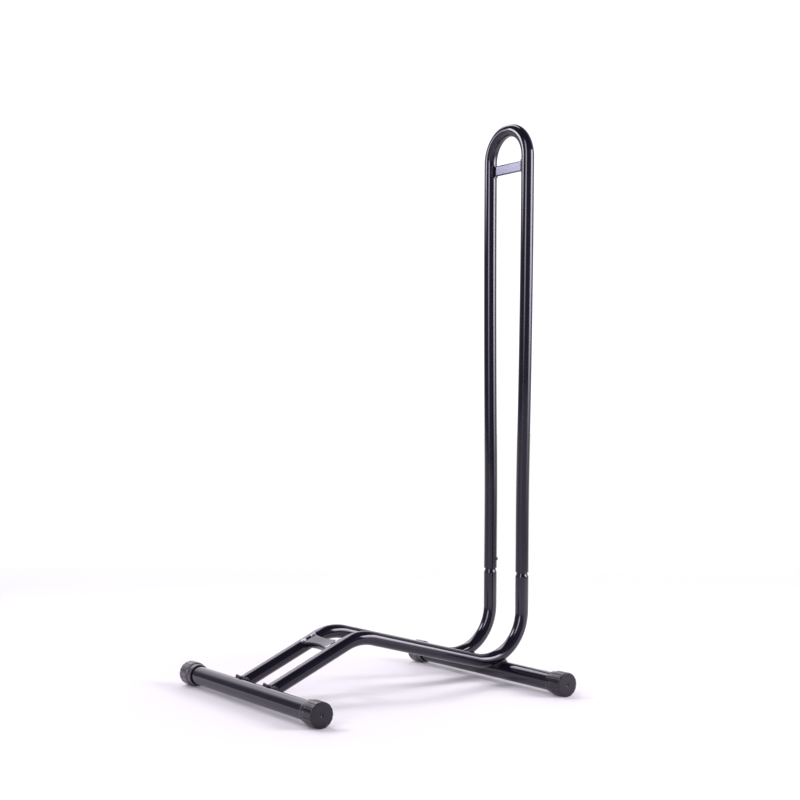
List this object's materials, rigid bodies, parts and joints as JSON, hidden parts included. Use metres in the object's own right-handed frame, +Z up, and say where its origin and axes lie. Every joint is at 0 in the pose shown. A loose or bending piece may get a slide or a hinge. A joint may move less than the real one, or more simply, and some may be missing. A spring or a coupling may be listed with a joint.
{
  "type": "bike display stand",
  "caption": "Free-standing floor stand that holds a bicycle by one wheel between two bent tubes and a tall hoop.",
  "frame": {"origin": "on the floor, at the centre of the stand's width and length", "axes": "+Z up, +Y from the front crossbar, where the wheel rolls in, towards the uprights, +X across the stand to its right"},
  "size_m": [0.358, 0.4502, 0.814],
  "materials": {
    "black_paint": "gloss",
    "cap_plastic": "matte",
    "dark_screw": "satin"
  },
  "bodies": {
    "base": {"front_crossbar": "black_paint", "rear_crossbar": "black_paint", "saddle_front_left": "black_paint", "saddle_front_right": "black_paint", "saddle_rear_left": "black_paint", "saddle_rear_right": "black_paint", "lower_tube_left": "black_paint", "lower_tube_right": "black_paint", "tyre_rest": "black_paint", "end_cap_front_left": "cap_plastic", "end_cap_front_right": "cap_plastic", "end_cap_rear_left": "cap_plastic", "end_cap_rear_right": "cap_plastic", "saddle_screw_left_inner": "dark_screw", "saddle_screw_left_outer": "dark_screw", "saddle_screw_right_inner": "dark_screw", "saddle_screw_right_outer": "dark_screw"},
    "hoop": {"upper_hoop": "black_paint", "label_plate": "black_paint", "locking_screw_left": "dark_screw", "locking_screw_right": "dark_screw"}
  },
  "joints": [
    {"name": "hoop_lift", "type": "slide", "parent": "base", "child": "hoop", "axis": [0, 0, 1], "range_m": [0, 0.05]}
  ]
}
